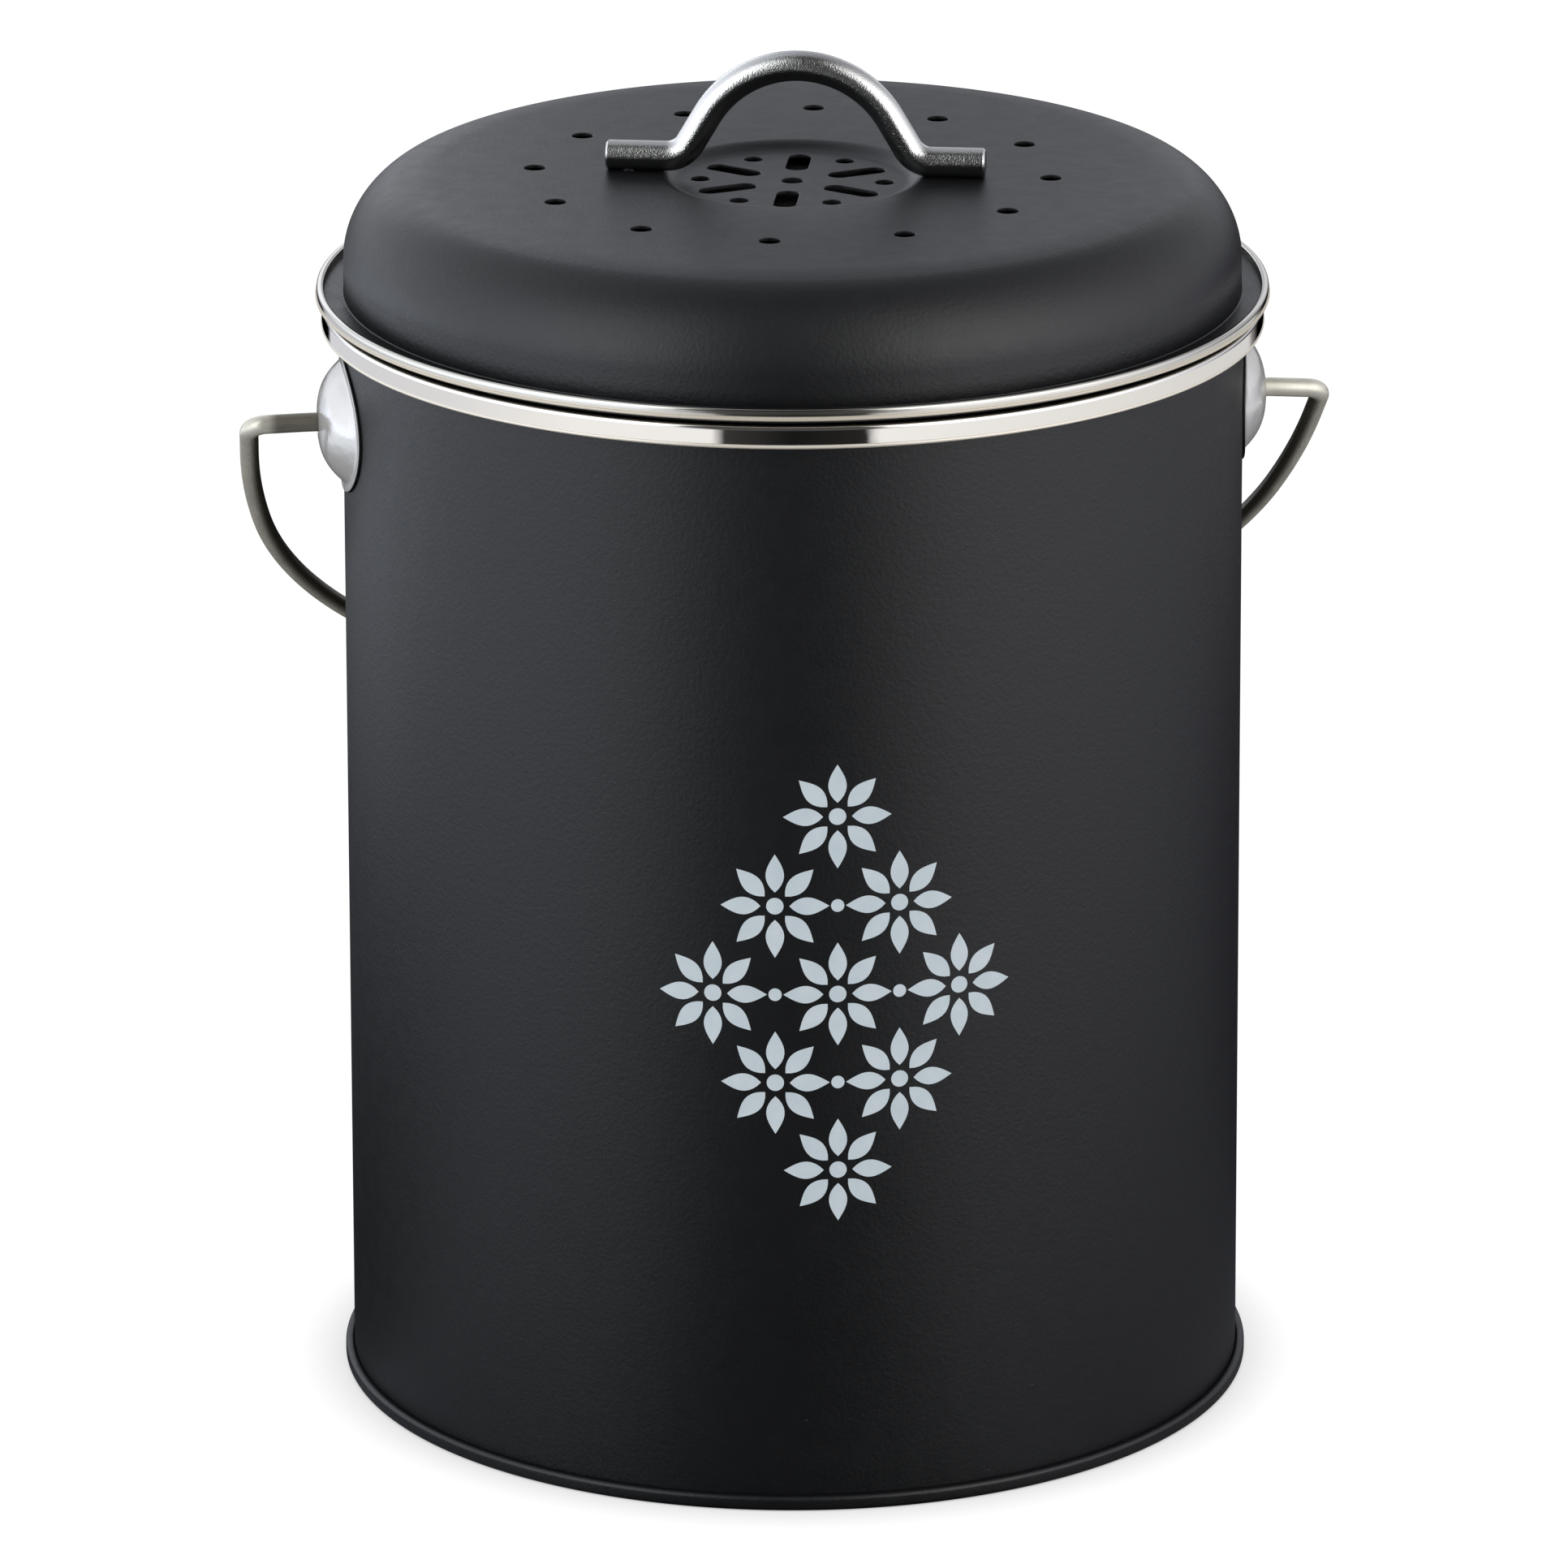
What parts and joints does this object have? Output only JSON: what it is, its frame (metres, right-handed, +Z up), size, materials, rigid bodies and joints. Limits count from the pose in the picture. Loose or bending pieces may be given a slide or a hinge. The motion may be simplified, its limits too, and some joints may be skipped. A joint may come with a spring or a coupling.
{
  "type": "compost caddy with lift-off lid",
  "caption": "Round black steel food-waste caddy with a vented domed lift-off lid, a bent-rod lid handle, polished rims and a swinging wire bail.",
  "frame": {"origin": "centre of the foot on the surface that the caddy stands on", "axes": "+Z up along the body's axis; +X through the right ear, which the bail turns about; the printed front faces -Y and the bail hangs behind, towards +Y"},
  "size_m": [0.2204, 0.1902, 0.274],
  "materials": {
    "black_coat": "fine satin powder coat",
    "polished_steel": "polished stainless sheet",
    "chrome_plate": "bright plate with slight orange peel",
    "drawn_wire": "nickel-plated drawn wire",
    "silicone": "soft matte",
    "tray_plastic": "moulded, fine grain",
    "charcoal_felt": "needled felt"
  },
  "bodies": {
    "caddy": {"body_shell": "black_coat", "rim_collar": "polished_steel", "base_plate": "black_coat", "base_ring": "black_coat", "ear_left": "chrome_plate", "ear_right": "chrome_plate"},
    "bail": {"bail": "drawn_wire"},
    "lid": {"lid_shell": "black_coat", "lid_bead": "polished_steel", "lid_skirt": "polished_steel", "lid_seal": "silicone", "lid_handle": "chrome_plate", "handle_screws": "polished_steel", "handle_washers": "polished_steel", "filter_clips": "polished_steel"},
    "filter": {"filter_tray": "tray_plastic", "filter_pad": "charcoal_felt"}
  },
  "joints": [
    {"name": "lid_lift", "type": "slide", "parent": "caddy", "child": "lid", "axis": [0, 0, 1], "range_m": [0, 0.12]},
    {"name": "bail_swing", "type": "hinge", "parent": "caddy", "child": "bail", "pos_m": [0, 0, 0.2012], "axis": [1, 0, 0], "range_deg": [0, 266.5]},
    {"name": "filter_twist", "type": "hinge", "parent": "lid", "child": "filter", "pos_m": [0, 0, 0.2362], "axis": [0, 0, 1], "range_deg": [0, 20]}
  ]
}
